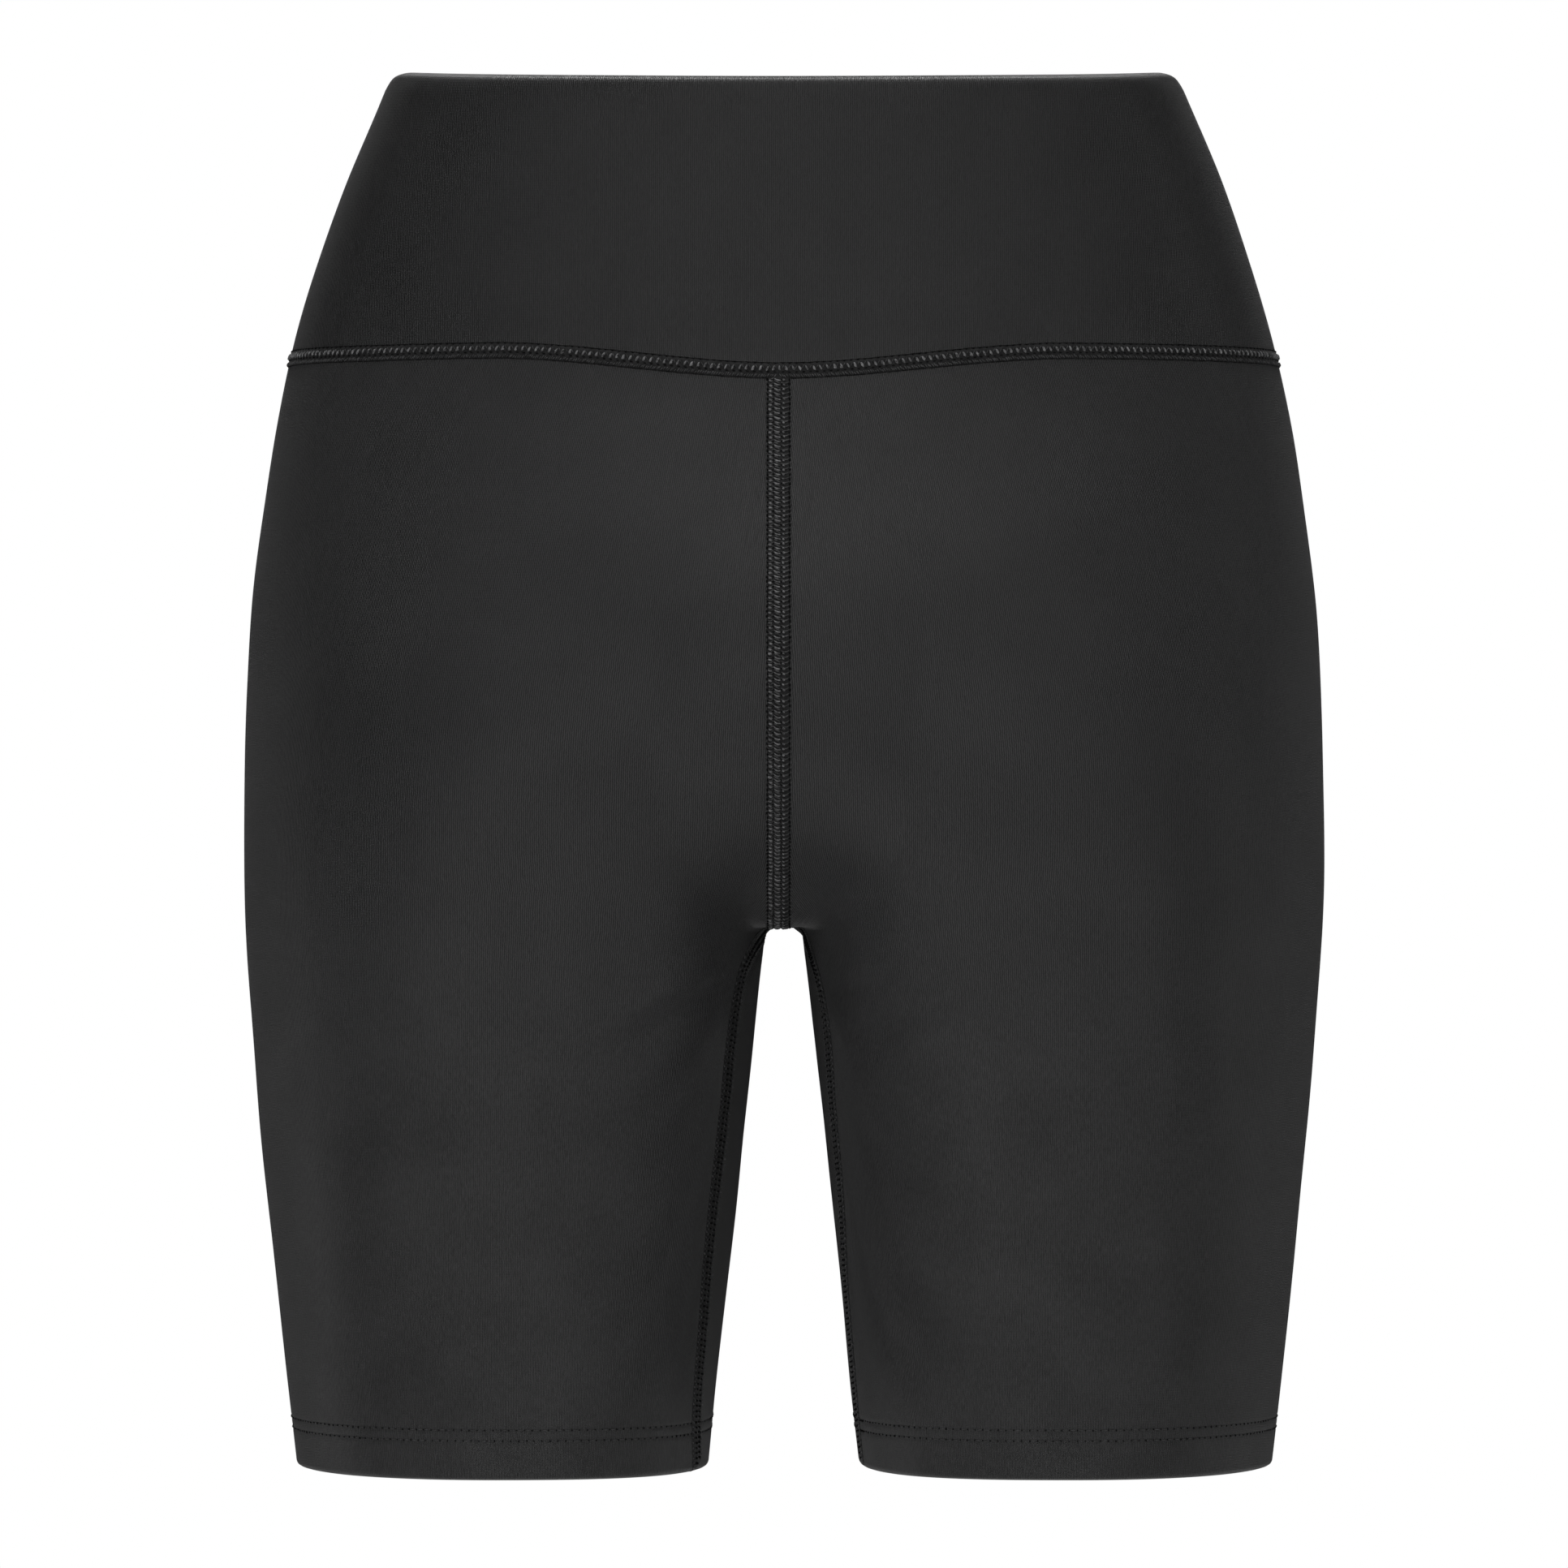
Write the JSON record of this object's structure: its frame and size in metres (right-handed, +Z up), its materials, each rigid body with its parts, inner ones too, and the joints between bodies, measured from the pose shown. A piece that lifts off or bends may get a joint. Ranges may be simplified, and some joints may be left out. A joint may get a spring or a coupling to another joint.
{
  "type": "high-waist running shorts",
  "caption": "Close-fitting high-waist running shorts in plain black jersey, filled out as if worn and open at the waist and both legs.",
  "frame": {"origin": "centre of the waist opening, level with its top edge at the two sides, where the wearer's waist holds the shorts", "axes": "+Z up, out of the waist opening; -Y towards the back of the garment, which the picture shows; +X to the right of someone who looks at the back"},
  "size_m": [0.3384, 0.2182, 0.4361],
  "materials": {
    "band_cloth": "double-layer smooth polyester and elastane jersey, soft low sheen",
    "leg_cloth": "smooth polyester and elastane jersey, soft low sheen"
  },
  "bodies": {
    "root": {"waistband_back": "band_cloth", "waistband_front": "band_cloth", "leg_left": "leg_cloth", "leg_right": "leg_cloth"}
  },
  "joints": []
}
